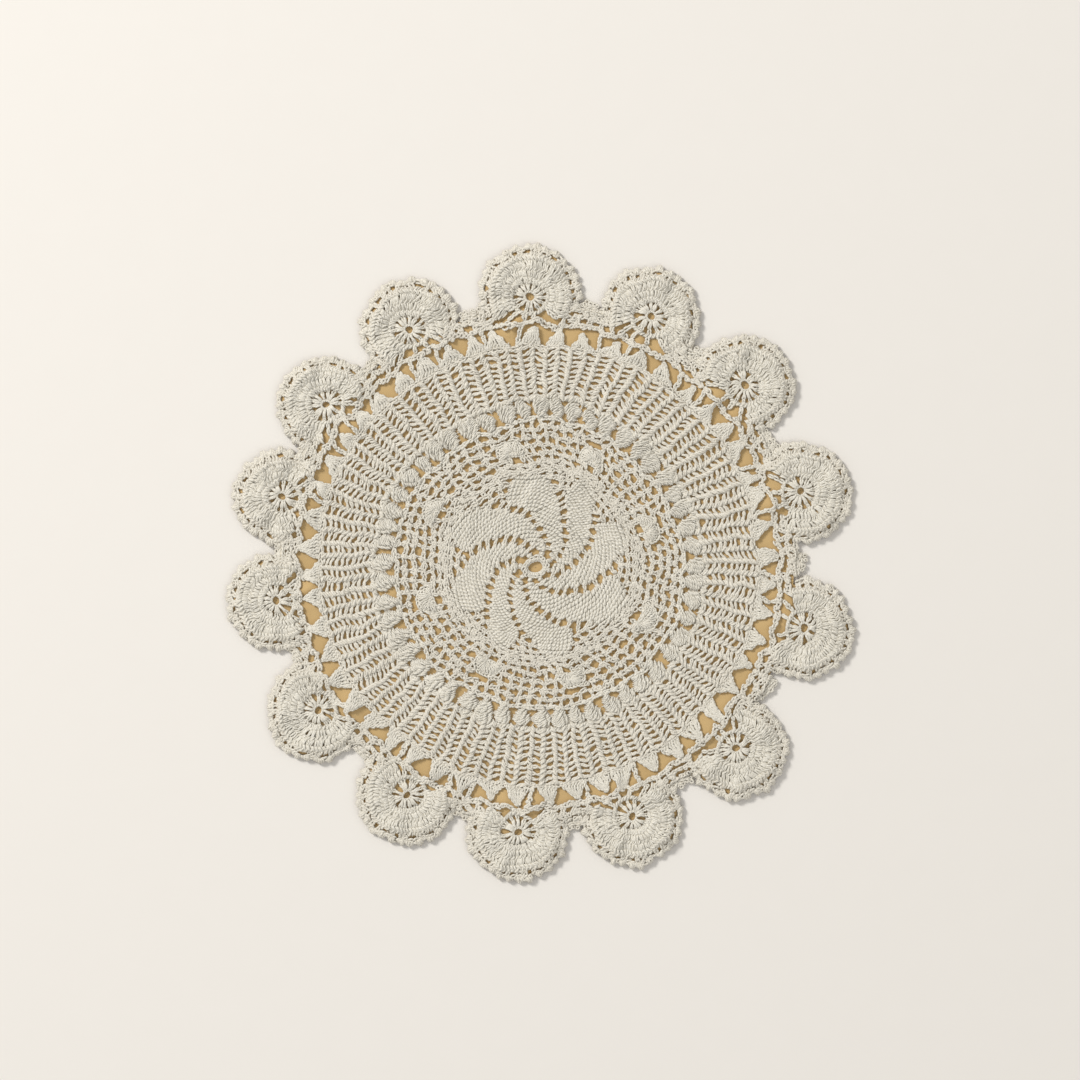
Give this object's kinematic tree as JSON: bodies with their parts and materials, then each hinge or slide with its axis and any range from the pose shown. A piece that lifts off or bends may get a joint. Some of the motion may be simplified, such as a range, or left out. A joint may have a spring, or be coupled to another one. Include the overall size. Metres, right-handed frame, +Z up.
{
  "type": "crocheted doily",
  "caption": "Round crocheted cotton doily with a spiral pinwheel centre, an open mesh, a ribbed band and a scalloped edge of round medallions",
  "frame": {"origin": "middle of the outline's bounding box, on the surface that the doily lies on", "axes": "+Z up, out of the right side of the work; +X and +Y lie in the plane of the cloth, and +X points between the first and the last medallion of the edge"},
  "size_m": [0.318, 0.323, 0.0034],
  "materials": {
    "cotton_dense": "matt twisted cotton thread in solid stitches, undyed ecru",
    "cotton_open": "matt twisted cotton thread in open stitches, undyed ecru"
  },
  "bodies": {
    "root": {"centre_ring": "cotton_dense", "pinwheel_blade_1": "cotton_dense", "pinwheel_blade_2": "cotton_dense", "pinwheel_blade_3": "cotton_dense", "pinwheel_blade_4": "cotton_dense", "pinwheel_blade_5": "cotton_dense", "pinwheel_blade_6": "cotton_dense", "pinwheel_blade_7": "cotton_dense", "pinwheel_blade_8": "cotton_dense", "eyelet_row_1": "cotton_open", "eyelet_row_2": "cotton_open", "eyelet_row_3": "cotton_open", "eyelet_row_4": "cotton_open", "eyelet_row_5": "cotton_open", "eyelet_row_6": "cotton_open", "eyelet_row_7": "cotton_open", "eyelet_row_8": "cotton_open", "fan_motif_1": "cotton_dense", "fan_motif_2": "cotton_dense", "fan_motif_3": "cotton_dense", "fan_motif_4": "cotton_dense", "fan_motif_5": "cotton_dense", "fan_motif_6": "cotton_dense", "fan_motif_7": "cotton_dense", "fan_motif_8": "cotton_dense", "mesh_ground": "cotton_open", "shell_round": "cotton_dense", "rib_round": "cotton_open", "point_round": "cotton_dense", "net_round": "cotton_open", "scallop_medallion_1": "cotton_dense", "scallop_medallion_2": "cotton_dense", "scallop_medallion_3": "cotton_dense", "scallop_medallion_4": "cotton_dense", "scallop_medallion_5": "cotton_dense", "scallop_medallion_6": "cotton_dense", "scallop_medallion_7": "cotton_dense", "scallop_medallion_8": "cotton_dense", "scallop_medallion_9": "cotton_dense", "scallop_medallion_10": "cotton_dense", "scallop_medallion_11": "cotton_dense", "scallop_medallion_12": "cotton_dense", "scallop_medallion_13": "cotton_dense", "scallop_medallion_14": "cotton_dense", "scallop_edging_1": "cotton_open", "scallop_edging_2": "cotton_open", "scallop_edging_3": "cotton_open", "scallop_edging_4": "cotton_open", "scallop_edging_5": "cotton_open", "scallop_edging_6": "cotton_open", "scallop_edging_7": "cotton_open", "scallop_edging_8": "cotton_open", "scallop_edging_9": "cotton_open", "scallop_edging_10": "cotton_open", "scallop_edging_11": "cotton_open", "scallop_edging_12": "cotton_open", "scallop_edging_13": "cotton_open", "scallop_edging_14": "cotton_open"}
  },
  "joints": []
}
